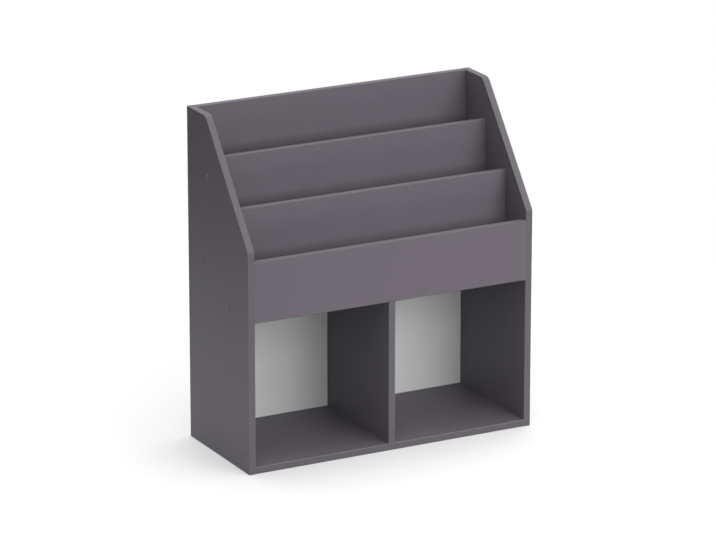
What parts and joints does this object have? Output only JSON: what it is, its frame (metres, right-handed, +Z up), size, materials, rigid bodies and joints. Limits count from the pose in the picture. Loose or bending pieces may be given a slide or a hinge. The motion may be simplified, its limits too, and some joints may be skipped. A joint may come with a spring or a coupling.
{
  "type": "kids bookcase",
  "caption": "Low children's bookcase in dark melamine board: stepped book pockets for showing covers, above open cubbies with a light back sheet.",
  "frame": {"origin": "middle of the bookcase's bounding box on the floor, under the bottom panel", "axes": "+X to the viewer's right, +Y from the open front to the back, +Z up"},
  "size_m": [0.723, 0.3042, 0.78],
  "materials": {
    "anthracite_board": "melamine-faced chipboard, matt anthracite, edges banded in the same colour",
    "white_hardboard": "thin hardboard, white lacquered on its front face",
    "zinc_plated_steel": "zinc-plated steel",
    "cast_zinc": "die-cast zinc alloy, dull",
    "anthracite_plastic": "moulded plastic, matt, board colour",
    "beech": "turned beech, unfinished"
  },
  "bodies": {
    "root": {"back_pin_centre_high": "zinc_plated_steel", "back_pin_centre_low": "zinc_plated_steel", "back_pin_left_high": "zinc_plated_steel", "back_pin_left_low": "zinc_plated_steel", "back_pin_right_high": "zinc_plated_steel", "back_pin_right_low": "zinc_plated_steel", "bottom_panel": "anthracite_board", "cam_bolt_base_front_left": "zinc_plated_steel", "cam_bolt_base_front_right": "zinc_plated_steel", "cam_bolt_base_rear_left": "zinc_plated_steel", "cam_bolt_base_rear_right": "zinc_plated_steel", "cam_bolt_front_panel_left": "zinc_plated_steel", "cam_bolt_front_panel_right": "zinc_plated_steel", "cam_bolt_upper_back_left": "zinc_plated_steel", "cam_bolt_upper_back_right": "zinc_plated_steel", "cam_lock_base_front_left": "cast_zinc", "cam_lock_base_front_right": "cast_zinc", "cam_lock_base_rear_left": "cast_zinc", "cam_lock_base_rear_right": "cast_zinc", "cam_lock_front_panel_left": "cast_zinc", "cam_lock_front_panel_right": "cast_zinc", "cam_lock_upper_back_left": "cast_zinc", "cam_lock_upper_back_right": "cast_zinc", "centre_divider": "anthracite_board", "cubby_top_panel": "anthracite_board", "dowel_centre_front": "beech", "dowel_centre_rear": "beech", "dowel_front_divider": "beech", "dowel_front_panel_left": "beech", "dowel_front_panel_right": "beech", "dowel_rear_divider": "beech", "dowel_upper_back_left": "beech", "dowel_upper_back_right": "beech", "front_panel": "anthracite_board", "lower_back_sheet": "white_hardboard", "pocket_divider_front": "anthracite_board", "pocket_divider_rear": "anthracite_board", "raised_pocket_floor": "anthracite_board", "screw_base_front": "zinc_plated_steel", "screw_base_rear": "zinc_plated_steel", "screw_cap_cubby_top_left": "anthracite_plastic", "screw_cap_cubby_top_right": "anthracite_plastic", "screw_cap_front_divider_left": "anthracite_plastic", "screw_cap_front_divider_right": "anthracite_plastic", "screw_cap_raised_floor_left": "anthracite_plastic", "screw_cap_raised_floor_right": "anthracite_plastic", "screw_cap_rear_divider_left": "anthracite_plastic", "screw_cap_rear_divider_right": "anthracite_plastic", "screw_cubby_top_left": "zinc_plated_steel", "screw_cubby_top_right": "zinc_plated_steel", "screw_front_divider_left": "zinc_plated_steel", "screw_front_divider_right": "zinc_plated_steel", "screw_raised_floor_left": "zinc_plated_steel", "screw_raised_floor_right": "zinc_plated_steel", "screw_rear_divider_left": "zinc_plated_steel", "screw_rear_divider_right": "zinc_plated_steel", "side_panel_left": "anthracite_board", "side_panel_right": "anthracite_board", "upper_back_panel": "anthracite_board"}
  },
  "joints": []
}
